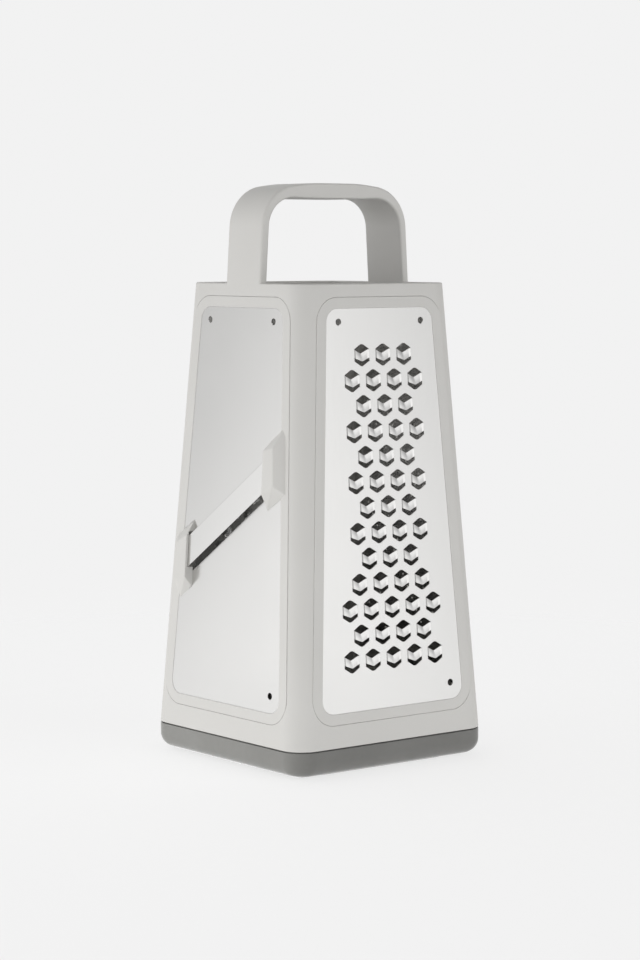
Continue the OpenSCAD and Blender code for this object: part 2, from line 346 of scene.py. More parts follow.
def spread(tree, noise, low, high):
    """Maps the span that noise mostly fills to a range."""
    return span(tree, noise, NOISE_LOW, NOISE_HIGH, low, high, "LINEAR")


def grain(tree, stretch, scale, detail=4.0):
    """Noise in Object coordinates, stretched by a scale along each axis."""
    place = add(tree, "ShaderNodeTexCoord").outputs["Object"]
    mapped = add(tree, "ShaderNodeMapping", Vector=place, Scale=stretch).outputs["Vector"]
    return add(tree, "ShaderNodeTexNoise", Vector=mapped, Scale=scale, Detail=detail).outputs["Fac"]


def emboss(tree, shader, height, distance, strength):
    """Joins a height to the shader's normal through a bump."""
    bump = add(tree, "ShaderNodeBump", Height=height, Distance=distance, Strength=strength)
    set_up(tree, shader, Normal=bump.outputs["Normal"])


def tinted(tree, shader, factor, dark, light):
    """Varies the base colour between two close tones."""
    ramp = add(tree, "ShaderNodeValToRGB", Fac=factor)
    first, last = ramp.color_ramp.elements
    first.color, first.position = (*dark, 1), TONE_LOW
    last.color, last.position = (*light, 1), TONE_HIGH
    set_up(tree, shader, Base_Color=ramp.outputs["Color"])


print("node helpers ready")

# %% [markdown]
# ### Shell plastic
#
# The tower is moulded in a warm pale grey with a very fine spark-eroded texture. A single colour
# would look like paper, so a faint cloud varies the tone, a finer one the gloss, and a bump about
# a third of a millimetre across gives the texture.

# %% Shell plastic
SHELL_DARK = (0.612, 0.603, 0.580)
SHELL_LIGHT = (0.628, 0.619, 0.596)

shell_plastic, tree, shader = new_finish("shell_plastic")
tinted(tree, shader, grain(tree, EVEN, scale=22, detail=2.0), SHELL_DARK, SHELL_LIGHT)
gloss = spread(tree, grain(tree, EVEN, scale=160), low=0.50, high=0.60)
set_up(tree, shader, Roughness=gloss, IOR=1.46)
emboss(tree, shader, grain(tree, EVEN, scale=2600, detail=2.0), distance=0.02 * MM, strength=0.35)
print("made", shell_plastic.name)

# %% [markdown]
# ### Plate steel
#
# The plates are satin rolled stainless. Rolling leaves very fine lines up the plate, so the noise
# is stretched a long way in Z, and a wide soft cloud varies the gloss as handling does.

# %% Plate steel
ROLLED = (1.0, 1.0, 0.03)


def satin_steel(name, dark, light, least_rough, most_rough):
    """Rolled steel between two close tones and between two roughnesses."""
    material, tree, shader = new_finish(name)
    lines = grain(tree, ROLLED, scale=1500, detail=3.0)
    tinted(tree, shader, lines, dark, light)
    gloss = spread(tree, grain(tree, EVEN, scale=35, detail=3.0), least_rough, most_rough)
    set_up(tree, shader, Roughness=gloss, Metallic=1.0)
    emboss(tree, shader, lines, distance=0.004 * MM, strength=0.08)
    return material


plate_steel = satin_steel("plate_steel", (0.776, 0.771, 0.759), (0.784, 0.779, 0.767), 0.21, 0.27)
blade_steel = satin_steel("blade_steel", (0.816, 0.811, 0.799), (0.824, 0.819, 0.807), 0.18, 0.24)
print("made", plate_steel.name, "and", blade_steel.name)

# %% [markdown]
# ### Ring rubber
#
# The foot ring is a soft grip rubber, matt and a mid grey. It scatters light at glancing angles, so
# it gets a little sheen, and its texture is coarser than the plastic's.

# %% Ring rubber
RUBBER_DARK = (0.160, 0.159, 0.150)
RUBBER_LIGHT = (0.172, 0.171, 0.162)

ring_rubber, tree, shader = new_finish("ring_rubber")
tinted(tree, shader, grain(tree, EVEN, scale=60, detail=3.0), RUBBER_DARK, RUBBER_LIGHT)
gloss = spread(tree, grain(tree, EVEN, scale=300), low=0.62, high=0.74)
set_up(tree, shader, Roughness=gloss, Sheen_Weight=1.0, Sheen_Roughness=0.3)
emboss(tree, shader, grain(tree, EVEN, scale=1800, detail=2.0), distance=0.03 * MM, strength=0.4)
print("made", ring_rubber.name)

# %% [markdown]
# ## The tower and its handle
#
# On the real grater the tower and the strap handle are one moulding. The tower is a stack of
# rounded squares: up the outside, over the rim and down the inside, joined into one closed skin.
# The handle is a strap section swept along an arch. The two are joined by a boolean, which leaves
# the small mitres where the rim's rounded edge runs into each post.

# %% Tower skin
FOOT_EDGE_R = 0.4 * MM
RIM_EDGE_R = 0.7 * MM
INNER_EDGE_R = 0.6 * MM
CORNER_STEPS = 16


def shell_ring(z, inset):
    """The tower's outline at a height above its foot, inset from its outside."""
    outline = rounded(square(half_at_height(z) - inset), CORNER_R - inset, CORNER_STEPS)
    return at_height(outline, RING_H + z)


tower_rings = [shell_ring(FOOT_EDGE_R * drop, FOOT_EDGE_R * (1 - side)) for side, drop in quarter(6)]
tower_rings += [
    shell_ring(TOWER_H - RIM_EDGE_R * (1 - side), RIM_EDGE_R * drop) for side, drop in quarter(6)
]
tower_rings += [
    shell_ring(TOWER_H - INNER_EDGE_R * drop, WALL_T - INNER_EDGE_R * (1 - side))
    for side, drop in quarter(4)
]
tower_rings += [shell_ring(0, WALL_T)]
tower = put("tower_shell", skin("tower_shell", tower_rings, closed=True))
print("tower skin:", len(tower.data.polygons), "faces")

# %% Handle strap
HANDLE_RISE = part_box("handle")[1].z - RING_H - TOWER_H
HANDLE_W = 24.5 * MM
POST_T = 3.8 * MM
GRIP_T = 6.7 * MM
CROWN_DROP = 3.2 * MM
CROWN_FLAT = 27.4 * MM
GRIP_SAG = 0.7 * MM
CROWN_R = 90 * MM
BEND_R = 18.5 * MM
INNER_BEND_R = 13 * MM
STRAP_EDGE_R = 1.1 * MM
SEAT_H = 5 * MM
BEND_STEPS = 22
CROWN_STEPS = 8


def arch(x, bend_z, crown_z, radius):
    """The line of one side of the strap, from the left post's foot over the grip to the right."""
    top_x, flat_x = x - (bend_z - TOWER_H) * HALF_LEAN / TOWER_H, CROWN_FLAT / 2
    p = [(-x, TOWER_H), (-top_x, bend_z), (-flat_x, crown_z)]
    p += [(flat_x, crown_z), (top_x, bend_z), (x, TOWER_H)]
    line = [Vector(p[0])]
    bend, crown = (radius, BEND_STEPS), (CROWN_R, CROWN_STEPS)
    for i, (r, steps) in enumerate((bend, crown, crown, bend), start=1):
        line += corner_arc(p[i - 1], p[i], p[i + 1], r, steps)
    return line + [Vector(p[-1])]


def strap_section(outer, inner):
    """The strap's rounded section between a point on its outer and one on its inner line."""
    across, middle = outer - inner, (outer + inner) / 2
    t, w, d = across.length / 2, HANDLE_W / 2, across.normalized()
    flat = rounded([(-t, -w), (t, -w), (t, w), (-t, w)], STRAP_EDGE_R, steps=8)
    return [Vector((middle.x + d.x * p.x, p.y, RING_H + middle.y + d.y * p.x)) for p in flat]


def seat_section(side):
    """The strap's section at the lower end of its seat inside the tower's wall."""
    z = TOWER_H - SEAT_H
    outer_x = half_at_height(z)
    return strap_section(Vector((side * outer_x, z)), Vector((side * (outer_x - POST_T), z)))


crown_z = TOWER_H + HANDLE_RISE
grip_z = crown_z - GRIP_T
outer_line = arch(RIM_W / 2, crown_z - CROWN_DROP, crown_z, BEND_R)
inner_line = arch(RIM_W / 2 - POST_T, grip_z + GRIP_SAG, grip_z, INNER_BEND_R)
strap_rings = [strap_section(o, i) for o, i in zip(outer_line, inner_line)]
strap_rings = [seat_section(-1), *strap_rings, seat_section(1)]
print("arch points:", len(outer_line), "crown at", round(crown_z / MM, 1), "mm above the tower's foot")

# %% [markdown]
# A boolean needs two closed shapes that overlap. The strap's ends run down inside the tower's wall,
# and each face gets one cutter that takes out the rebate for the frame and the window behind it.
# The cutter flares at the surface by a quarter round, which leaves the rebate a soft edge.

# %% Join the handle and cut the rebates
LEDGE_W = 1.8 * MM
GROOVE_EDGE_R = 0.15 * MM
CUT_DEPTH = 3 * WALL_T

strap = put("strap", skin("strap", strap_rings, closed=False))


def rebate_cutter(turn):
    """What one face's window and rebate take out of the tower."""
    rings = [at_height(groove_outline(LEDGE_W), z) for z in (-CUT_DEPTH, -FRAME_T)]
    rings.append(at_height(groove_outline(0), -FRAME_T))
    for side, drop in quarter(4):
        rings.append(at_height(groove_outline(-GROOVE_EDGE_R * drop), -GROOVE_EDGE_R * (1 - side)))
    rings.append(at_height(groove_outline(-GROOVE_EDGE_R), WALL_T))
    mesh = skin("rebate", rings, closed=False)
    mesh.transform(on_face(turn))
    return put("rebate", mesh)


cutters = [rebate_cutter(turn) for turn in (FRONT, RIGHT, BACK, LEFT)]


def add_boolean(thing, other, operation, solver="EXACT"):
    """Adds a modifier that joins another closed shape to a thing, or cuts it out."""
    step = thing.modifiers.new(operation.lower(), "BOOLEAN")
    step.object = other
    step.operation = operation
    step.solver = solver


add_boolean(tower, strap, "UNION")
for cutter in cutters:
    add_boolean(tower, cutter, "DIFFERENCE")
bake(tower)
for helper in [strap, *cutters]:
    bpy.data.objects.remove(helper)
face_outwards(tower.data)
shade(tower)
finish_piece(tower, shell_plastic, "tower", "shell", "tower_body", "handle")

# %% [markdown]
# ## Panel frames
#
# Each steel plate sits in a moulded frame of the same plastic, parted from the tower by a hairline
# groove. A frame is a closed skin of outlines: up its outer edge, over the soft corner, across its
# face, down to the plate's seat and back behind the lip that carries the plate.

# %% Panel frame skin
GROOVE_GAP = 0.1 * MM
LIP_W = 2 * MM
FRAME_EDGE_R = 0.15 * MM
SEAT_EDGE_R = 0.25 * MM


def frame_skin(name):
    """A frame in the face's drawing, without what it carries."""
    rings = [at_height(groove_outline(GROOVE_GAP), -FRAME_T)]
    for side, drop in quarter(4):
        edge = groove_outline(GROOVE_GAP + FRAME_EDGE_R * drop)
        rings.append(at_height(edge, -FRAME_EDGE_R * (1 - side)))
    for side, drop in quarter(3):
        rings.append(at_height(plate_outline(-SEAT_EDGE_R * (1 - side)), -SEAT_EDGE_R * drop))
    rings.append(at_height(plate_outline(0), -PLATE_DROP - PLATE_T))
    rings += [at_height(plate_outline(LIP_W), z) for z in (-PLATE_DROP - PLATE_T, -FRAME_T)]
    return skin(name, rings, closed=True)


def panel_frame(name, turn, node):
    """One finished frame on its face."""
    surround = put(name, frame_skin(name))
    surround.data.transform(on_face(turn))
    finish_piece(shade(surround), shell_plastic, "tower", "shell", node)


panel_frame("coarse_surround", FRONT, "coarse_frame")
panel_frame("fine_surround", BACK, "fine_frame")
panel_frame("zest_surround", RIGHT, "zest_frame")

# %% [markdown]
# ### The blade's line
#
# The blade climbs across its face on a slant, and its ends are upright. One function gives the
# point at a distance across the blade and to the side of its middle. The caps, the slot and the
# blade itself are all placed by it.

# %% The blade's line
BLADE_MID = 95.6 * MM
BLADE_SIDE = -1.25 * MM
BLADE_ANGLE = math.radians(34.8)
BLADE_W = 12.9 * MM
BLADE_LIFT = 2.8 * MM
CREASE_V = 7.6 * MM
TUCK = 3 * MM
FACET_SHARP_DEGREES = 25


def along_blade(x, v):
    """The point at v across the blade that lies x to the side of the blade's middle."""
    u = (x + v * math.sin(BLADE_ANGLE)) / math.cos(BLADE_ANGLE)
    return BLADE_SIDE + x, BLADE_MID + u * math.sin(BLADE_ANGLE) + v * math.cos(BLADE_ANGLE)


print("the blade climbs by", round(math.degrees(BLADE_ANGLE), 1), "degrees")

# %% [markdown]
# ### The slicer's frame and its two caps
#
# The slicing side has the same frame, with a faceted cap over each end of the blade. A cap is the
# convex hull of its foot outline and its smaller flat top. Their points are in millimetres, across
# from the cap's inner side and up from the blade's middle. The second cap is the first one turned
# half round that middle. Both have a pocket that takes the blade's end with a little room, which
# reads as a thin dark line.

# %% Blade caps
CAP_OVER = 8.1 * MM
CAP_H = 4 * MM
CAP_U = half_up_face(BLADE_MID) - PLATE_INSET - CAP_OVER
CAP_FOOT = [(0, 3.8), (11.8, 11.4), (10.0, 35.6), (8.0, 38.7), (0, 33)]
CAP_TOP = [(0, 10.8), (7.9, 14.6), (6.7, 30.8), (0, 29.2)]
CAP_EDGE_R = 0.45 * MM
POCKET_FIT = 0.12 * MM


def pocket_end(x):
    """One end of the room that the blade's ends take in the caps."""
    top, low = BLADE_LIFT - PLATE_DROP + POCKET_FIT, -2 * PLATE_DROP
    edge = CREASE_V - BLADE_W - POCKET_FIT
    corners = ((CREASE_V, low), (edge, low), (edge, top), (CREASE_V, top))
    return [Vector((*along_blade(x, v), height)) for v, height in corners]


pocket_x = CAP_U + TUCK + POCKET_FIT
pocket = put("pocket", skin("pocket", [pocket_end(-pocket_x), pocket_end(pocket_x)], closed=False))


def cap_mesh(turn):
    """One cap in the face's drawing, its edges softened."""
    shape = bmesh.new()
    for outline, height in ((CAP_FOOT, -PLATE_DROP), (CAP_FOOT, 0), (CAP_TOP, CAP_H)):
        for u, v in outline:
            shape.verts.new((CAP_U + u * MM, v * MM, height))
    hull = bmesh.ops.convex_hull(shape, input=shape.verts)
    inside = [g for g in hull["geom_interior"] if isinstance(g, bmesh.types.BMVert)]
    bmesh.ops.delete(shape, geom=inside)
    bmesh.ops.dissolve_limit(shape, angle_limit=math.radians(1), verts=shape.verts, edges=shape.edges)
    rims = [e for e in shape.edges if max(v.co.z for v in e.verts) > PLATE_DROP / 2]
    bmesh.ops.bevel(shape, geom=rims, offset=CAP_EDGE_R, segments=3, profile=0.5, affect="EDGES")
    bmesh.ops.recalc_face_normals(shape, faces=shape.faces)
    mesh = bpy.data.meshes.new("cap")
    shape.to_mesh(mesh)
    shape.free()
    about_middle = Matrix.Rotation(math.radians(turn), 4, "Z")
    mesh.transform(Matrix.Translation((BLADE_SIDE, BLADE_MID, 0)) @ about_middle)
    cap = put("cap", mesh)
    add_boolean(cap, pocket, "DIFFERENCE", "MANIFOLD")
    cut = bake(cap).data
    bpy.data.objects.remove(cap)
    print("cap turned by", turn, "has", len(cut.polygons), "faces")
    return cut


capped = bmesh.new()
for part in (frame_skin("slicer_ring"), cap_mesh(0), cap_mesh(180)):
    capped.from_mesh(part)
    bpy.data.meshes.remove(part)
slicer_surround = put("slicer_surround", bpy.data.meshes.new("slicer_surround"))
capped.to_mesh(slicer_surround.data)
capped.free()
bpy.data.objects.remove(pocket)
slicer_surround.data.transform(on_face(LEFT))
shade(slicer_surround, FACET_SHARP_DEGREES)
finish_piece(slicer_surround, shell_plastic, "tower", "shell", "slicer_frame")

# %% [markdown]
# ## Grating plates
#
# The coarse, fine and zest plates are one idea at three sizes: a sheet with openings in staggered
# rows, each row as long as the tapered plate has room for, and a tooth in every opening. That is
# work for Geometry Nodes. The tree below places the points by the same rule as the drawing, fills
# the sheet round the openings, gives it its thickness and sets a tooth on every point.

# %% Tree helpers
def work_out(tree, operation, *values):
    """The result of a math node on its values."""
    return wire(tree, "ShaderNodeMath", *values, operation=operation).outputs["Value"]


class Wiring:
    """A Geometry Nodes tree, with short ways to add to it."""

    def __init__(self, name, inputs):
        self.tree = bpy.data.node_groups.new(name, "GeometryNodeTree")
        for label, kind in inputs:
            self.tree.interface.new_socket(label, in_out="INPUT", socket_type=kind)
        self.tree.interface.new_socket("Geometry", in_out="OUTPUT", socket_type="NodeSocketGeometry")
        self.given = self.tree.nodes.new("NodeGroupInput").outputs

    def node(self, kind, *inputs, **settings):
        """A node with settings, and its first inputs filled in order."""
        return wire(self.tree, kind, *inputs, **settings)

    def math(self, operation, *values):
        """The result of a math node."""
        return work_out(self.tree, operation, *values)

    def join(self, *parts):
        """The output of a node that joins geometry."""
        node = self.tree.nodes.new("GeometryNodeJoinGeometry")
        for part in parts:
            self.tree.links.new(part, node.inputs[0])
        return node.outputs[0]


print("tree helpers ready")

# %% [markdown]
# The rule for the rows: from the top one down, each row takes as many openings as fit, and gives
# one back where the stagger asks for it. The tree numbers its points, turns the number into a row
# and a column, and deletes the columns that a row has no room for.

# %% Tree for a grating plate
COLUMNS = 16
LENGTHS = ("Top", "Side", "Row pitch", "Pitch", "Width", "Half", "Slope", "Thickness")


def grating_tree():
    """The tree that makes a grating plate from its outline, its opening and its tooth."""
    inputs = [("Geometry", "NodeSocketGeometry")]
    inputs += [(label, "NodeSocketObject") for label in ("Outline", "Opening", "Tooth")]
    inputs += [("Rows", "NodeSocketInt"), *[(label, "NodeSocketFloat") for label in LENGTHS]]
    inputs += [("Finish", "NodeSocketMaterial")]
    w = Wiring("grating", inputs)
    g = w.given
    index = w.node("GeometryNodeInputIndex").outputs[0]
    row = w.math("FLOOR", w.math("DIVIDE", w.math("ADD", index, 0.5), COLUMNS))
    column = w.math("SUBTRACT", index, w.math("MULTIPLY", row, COLUMNS))
    up = w.math("SUBTRACT", g["Top"], w.math("MULTIPLY", row, g["Row pitch"]))
    half = w.math("SUBTRACT", g["Half"], w.math("MULTIPLY", up, g["Slope"]))
    room = w.math("DIVIDE", w.math("SUBTRACT", w.math("MULTIPLY", half, 2.0), g["Width"]), g["Pitch"])
    most = w.math("ADD", w.math("FLOOR", room), 1.0)
    odd = w.math("FLOORED_MODULO", w.math("ADD", w.math("ADD", most, row), 1.0), 2.0)
    count = w.math("SUBTRACT", most, odd)
    first = w.math("DIVIDE", w.math("SUBTRACT", count, 1.0), 2.0)
    across = w.math("MULTIPLY", w.math("SUBTRACT", column, first), g["Pitch"])
    place = w.node("ShaderNodeCombineXYZ", w.math("ADD", across, g["Side"]), up, 0.0).outputs[0]
    points = w.node("GeometryNodePoints", w.math("MULTIPLY", g["Rows"], COLUMNS), place).outputs[0]
    last = w.math("SUBTRACT", count, 0.5)
    spare = w.node("FunctionNodeCompare", column, last, operation="GREATER_THAN")
    kept = w.node("GeometryNodeDeleteGeometry", points, spare.outputs[0], domain="POINT").outputs[0]

    def loops(socket):
        shape = w.node("GeometryNodeObjectInfo", socket, transform_space="ORIGINAL")
        return w.node("GeometryNodeMeshToCurve", shape.outputs["Geometry"]).outputs[0]

    openings = w.node("GeometryNodeInstanceOnPoints", kept, None, loops(g["Opening"])).outputs[0]
    cut_lines = w.node("GeometryNodeRealizeInstances", openings).outputs[0]
    sheet = w.node("GeometryNodeFillCurve", w.join(loops(g["Outline"]), cut_lines)).outputs[0]
    drop = w.node("ShaderNodeCombineXYZ", 0.0, 0.0, w.math("MULTIPLY", g["Thickness"], -1.0)).outputs[0]
    walls = w.node("GeometryNodeExtrudeMesh")
    set_up(w.tree, walls, Mesh=sheet, Offset=drop, Offset_Scale=1.0, Individual=False)
    plate = w.join(sheet, walls.outputs[0])
    tooth = w.node("GeometryNodeObjectInfo", g["Tooth"], transform_space="ORIGINAL").outputs["Geometry"]
    teeth = w.node("GeometryNodeInstanceOnPoints", kept, None, tooth).outputs[0]
    merged = add(w.tree, "GeometryNodeMergeByDistance", Geometry=plate, Distance=WELD_WITHIN / 2)
    real = w.node("GeometryNodeRealizeInstances", w.join(merged.outputs[0], teeth)).outputs[0]
    finished = add(w.tree, "GeometryNodeSetMaterial", Geometry=real, Material=g["Finish"])
    w.tree.links.new(finished.outputs[0], w.tree.nodes.new("NodeGroupOutput").inputs[0])
    return w.tree


grating = grating_tree()
print("grating tree:", len(grating.nodes), "nodes")

# %% [markdown]
# ### Outline and openings
#
# The tree's Outline is the plate's edge and its three locating holes, and its Opening is an upright
# hexagon with softened points. Both are plain loops of edges on helper objects.

# %% Loops for the sheet
PIN_SIDE = 6.45 * MM
PIN_TOP = 5.7 * MM
PIN_LOW = 7.2 * MM
PIN_R = 1.5 * MM
PLATE_FIT = 0.05 * MM


def loop_object(name, outlines):
    """Closed loops of edges, as an object for the tree to read."""
    points, edges = [], []
    for outline in outlines:
        start, count = len(points), len(outline)
        points += [(p[0], p[1], 0) for p in outline]
        edges += [(start + k, start + (k + 1) % count) for k in range(count)]
    return put(name, new_mesh(name, points, edges, []))


def circle(x, y, radius, steps=28):
    """Points round a circle, or a polygon with few steps."""
    turns = [2 * math.pi * k / steps for k in range(steps)]
    return [(x + radius * math.cos(a), y + radius * math.sin(a)) for a in turns]


def pin_hole(side, s):
    """A locating hole at one side of the plate, a distance up the face."""
    return circle(side * (half_up_face(s) - PLATE_INSET - PIN_SIDE), s, PIN_R)


pin_high, pin_low = PLATE_HIGH - PIN_TOP, PLATE_LOW + PIN_LOW
PIN_HOLES = [pin_hole(-1, pin_high), pin_hole(1, pin_high), pin_hole(1, pin_low)]
plate_loops = loop_object("plate_loops", [plate_outline(PLATE_FIT), *PIN_HOLES])

SIDE_SHARE = 0.51
TIP_R_SHARE = 0.28


def hexagon(width, height):
    """An upright hexagon whose top and bottom points are rounded."""
    y, tip = height * SIDE_SHARE / 2, width * TIP_R_SHARE
    low = corner_arc((-width / 2, -y), (0, -height / 2), (width / 2, -y), tip, steps=6)
    high = corner_arc((width / 2, y), (0, height / 2), (-width / 2, y), tip, steps=6)
    return [(-width / 2, -y), *low, (width / 2, -y), (width / 2, y), *high, (-width / 2, y)]


print("loops in the plate outline:", 1 + len(PIN_HOLES))

# %% [markdown]
# ### Teeth
#
# Punching leaves a strip across each opening, folded along its middle. A coarse tooth steps in a
# little from its ends, its upper edge dips below the plate and its lower edge folds out and cuts. A
# fine tooth is a hood over the whole opening with its mouth under the lower edge. The strip is a
# small grid bent by a formula, with few faces because it repeats many times. Its edges are given at
# its ends and at its fold as shares of the opening's height, and its bends as shares of the width.

# %% Tooth strip
COARSE_SHARES = {
    "top": (0.255, 0.062), "low": (-0.10, -0.258), "proud": 0.085, "dip": 0.05, "step": 0.045,
}
FINE_SHARES = {
    "top": (0.255, 0.50), "low": (-0.255, -0.58), "proud": 0.22, "dip": 0.0, "step": 0.0,
}
STEP_FROM = 0.76
TOOTH_ACROSS = 16
TOOTH_DOWN = 3
FOLD_SOFT = 0.03


def fold_at(side):
    """How far the strip is folded, 0 at its ends and 1 at its middle, with a soft crease."""
    soft = math.sqrt(side * side + FOLD_SOFT * FOLD_SOFT)
    most = math.sqrt(1 + FOLD_SOFT * FOLD_SOFT)
    return (most - soft) / (most - FOLD_SOFT)


def step_at(side):
    """How far the strip is pushed in, 0 at its ends and 1 over its middle part."""
    t = min(1, (1 - abs(side)) / (1 - STEP_FROM))
    return t * t * (3 - 2 * t)


def tooth_object(name, width, height, shares):
    """A folded strip across one opening."""
    reach = width / 2 + PLATE_T / 4
    (top_end, top_fold), (low_end, low_fold) = shares["top"], shares["low"]
    top, under = [], []
    for j in range(TOOTH_DOWN + 1):
        down = j / TOOTH_DOWN
        for i in range(TOOTH_ACROSS + 1):
            side = 2 * i / TOOTH_ACROSS - 1
            fold = fold_at(side)
            upper = height * (top_end + (top_fold - top_end) * fold)
            lower = height * (low_end + (low_fold - low_end) * fold)
            bend = shares["proud"] * down - shares["dip"] * (1 - down)
            z = fold * bend - shares["step"] * step_at(side)
            top.append((side * reach, upper + (lower - upper) * down, z * width))
            under.append((side * reach, upper + (lower - upper) * down, z * width - PLATE_T))
    count, half = TOOTH_ACROSS + 1, len(top)
    faces = []
    for j in range(TOOTH_DOWN):
        for i in range(TOOTH_ACROSS):
            a, b = j * count + i, j * count + i + 1
            faces.append((a, a + count, b + count, b))
            faces.append((half + a, half + b, half + b + count, half + a + count))
    rim = [*range(count), *[(j + 1) * count + count - 1 for j in range(TOOTH_DOWN)]]
    rim += [TOOTH_DOWN * count + i for i in range(count - 2, -1, -1)]
    rim += [j * count for j in range(TOOTH_DOWN - 1, 0, -1)]
    faces += [(rim[k - 1], rim[k], half + rim[k], half + rim[k - 1]) for k in range(len(rim))]
    mesh = new_mesh(name, top + under, [], faces)
    face_outwards(mesh)
    return put(name, mesh)


proud_share = round(COARSE_SHARES["proud"] - COARSE_SHARES["step"], 3)
print("a coarse tooth stands proud by", proud_share, "of its opening's width")

# %% [markdown]
# ### Making a plate with the tree
#
# A modifier's inputs are set by each socket's identifier, before the object is first evaluated.
# The result is baked to a plain mesh and only then laid on its face.

# %% Grating plates
FIELD_SIDE = 21.9 * MM
FIELD_LOW = 18 * MM
TOOTH_SHARP_DEGREES = 14


def grating_plate(name, turn, node, opening, tooth, top, row_pitch, pitch, width, side=0.0):
    """One grating plate on its face, made by the tree."""
    first = PLATE_HIGH - top
    rows = math.floor((first - PLATE_LOW - FIELD_LOW) / row_pitch) + 1
    plate = put(name, bpy.data.meshes.new(name))
    step = plate.modifiers.new("grating", "NODES")
    step.node_group = grating
    values = {
        "Outline": plate_loops, "Opening": opening, "Tooth": tooth, "Rows": rows, "Top": first,
        "Side": side, "Row pitch": row_pitch, "Pitch": pitch, "Width": width,
        "Half": BASE_W / 2 - FIELD_SIDE, "Slope": HALF_LEAN / FACE_L, "Thickness": PLATE_T,
        "Finish": plate_steel,
    }
    for socket in grating.interface.items_tree:
        if socket.in_out == "INPUT" and socket.name in values:
            step[socket.identifier] = values[socket.name]
    bake(plate)
    plate.data.transform(on_face(turn) @ Matrix.Translation((0, 0, -PLATE_DROP)))
    smooth(plate, TOOTH_SHARP_DEGREES)
    for helper in (opening, tooth):
        bpy.data.objects.remove(helper)
    finish_piece(plate, plate_steel, "tower", "plate_steel", node)


COARSE_W, COARSE_H = 8.15 * MM, 10.2 * MM
COARSE_SIDE = 1 * MM
grating_plate(
    "coarse_grating", FRONT, "coarse_plate",
    loop_object("coarse_opening", [hexagon(COARSE_W, COARSE_H)]),
    tooth_object("coarse_tooth", COARSE_W, COARSE_H, COARSE_SHARES),
    top=19.9 * MM, row_pitch=10.79 * MM, pitch=11.54 * MM, width=COARSE_W, side=COARSE_SIDE,
)
FINE_W, FINE_H = 4.9 * MM, 6.1 * MM
grating_plate(
    "fine_grating", BACK, "fine_plate",
    loop_object("fine_opening", [hexagon(FINE_W, FINE_H)]),
    tooth_object("fine_tooth", FINE_W, FINE_H, FINE_SHARES),
    top=17 * MM, row_pitch=7.1 * MM, pitch=7.6 * MM, width=FINE_W,
)

# %% [markdown]
# ### Zest points
#
# The zest side is pierced from inside: each small hole is pushed out into four torn petals. One
# point is a closed skin of eight-cornered rings, over the petals and down a square hole. Every other
# corner stands higher and nearer the middle, as the tip of a petal. Each ring below has its radius
# and the heights of its tips and gaps, as shares of half the point's width and of its height.

# %% Zest plate
ZEST_W = 2.6 * MM
ZEST_H = 1 * MM
ZEST_HOLE_SHARE = 0.36
ZEST_TIP_REACH_SHARE = 0.76
ZEST_RING_SHARES = [
    (1, 0, 0), (0.82, 0.45, 0.36), (0.62, 1, 0.62), (1.15 * ZEST_HOLE_SHARE, 1, 0.62),
    (ZEST_HOLE_SHARE, 0, 0), (ZEST_HOLE_SHARE, -PLATE_T / ZEST_H, -PLATE_T / ZEST_H),
]


def zest_point(name):
    """Four petals pushed out round a square hole."""
    rings = []
    for radius_share, tip_share, gap_share in ZEST_RING_SHARES:
        ring = []
        for k in range(8):
            turn, is_tip = math.pi / 4 * k, k % 2 == 1
            reach = ZEST_W / 2 * radius_share * (ZEST_TIP_REACH_SHARE if is_tip else 1)
            height = ZEST_H * (tip_share if is_tip else gap_share)
            ring.append(Vector((reach * math.cos(turn), reach * math.sin(turn), height)))
        rings.append(ring)
    wide = 1 / ZEST_HOLE_SHARE
    rings.append([Vector((p.x * wide, p.y * wide, -PLATE_T / 2)) for p in rings[-1]])
    return put(name, skin(name, rings, closed=True))


grating_plate(
    "zest_grating", RIGHT, "zest_plate",
    loop_object("zest_opening", [circle(0, 0, ZEST_W * ZEST_HOLE_SHARE / 2, steps=4)]),
    zest_point("zest_point"),
    top=18 * MM, row_pitch=5.2 * MM, pitch=5.6 * MM, width=ZEST_W,
)

# %% [markdown]
# ## Slicing plate and blade
#
# The slicing plate is cut away below a slanting crease. The blade laps behind the plate there,
# climbs a short ramp and runs level to its ground edge. The plate is a filled flat curve with
# depth, which cuts its own holes. The blade is a profile drawn along the slant, with softened bends.

# %% Slicing plate
BLADE_T = 0.6 * MM
THROAT = 1.5 * MM
END_X = CAP_U + TUCK
SHEET_SHARP_DEGREES = 30

slot_low = CREASE_V - BLADE_W - THROAT
slot = [along_blade(-END_X, CREASE_V), along_blade(-END_X, slot_low)]
slot += [along_blade(END_X, slot_low), along_blade(END_X, CREASE_V)]


def sheet_object(name, outlines, thickness):
    """A flat sheet with holes, from closed lines that fill each other."""
    drawing = bpy.data.curves.new(name, "CURVE")
    drawing.dimensions = "2D"
    drawing.fill_mode = "BOTH"
    drawing.extrude = thickness / 2
    for outline in outlines:
        line = drawing.splines.new("POLY")
        line.points.add(len(outline) - 1)
        for point, p in zip(line.points, outline):
            point.co = (p[0], p[1], 0, 1)
        line.use_cyclic_u = True
    helper = put(name + "_drawing", drawing)
    sheet = put(name, shown_mesh(helper))
    bpy.data.objects.remove(helper)
    face_outwards(sheet.data)
    return sheet


slicer_sheet = sheet_object("slicer_sheet", [plate_outline(PLATE_FIT), *PIN_HOLES, slot], PLATE_T)
slicer_sheet.data.transform(on_face(LEFT) @ Matrix.Translation((0, 0, -PLATE_DROP - PLATE_T / 2)))
smooth(slicer_sheet, SHEET_SHARP_DEGREES)
finish_piece(slicer_sheet, plate_steel, "tower", "plate_steel", "slicer_plate")

# %% Blade
LAP = 2.6 * MM
RAMP_W = 1.6 * MM
GRIND_W = 2.6 * MM
EDGE_T = 0.1 * MM
BEND_SOFT_R = 0.4 * MM
LAP_FIT = 0.05 * MM


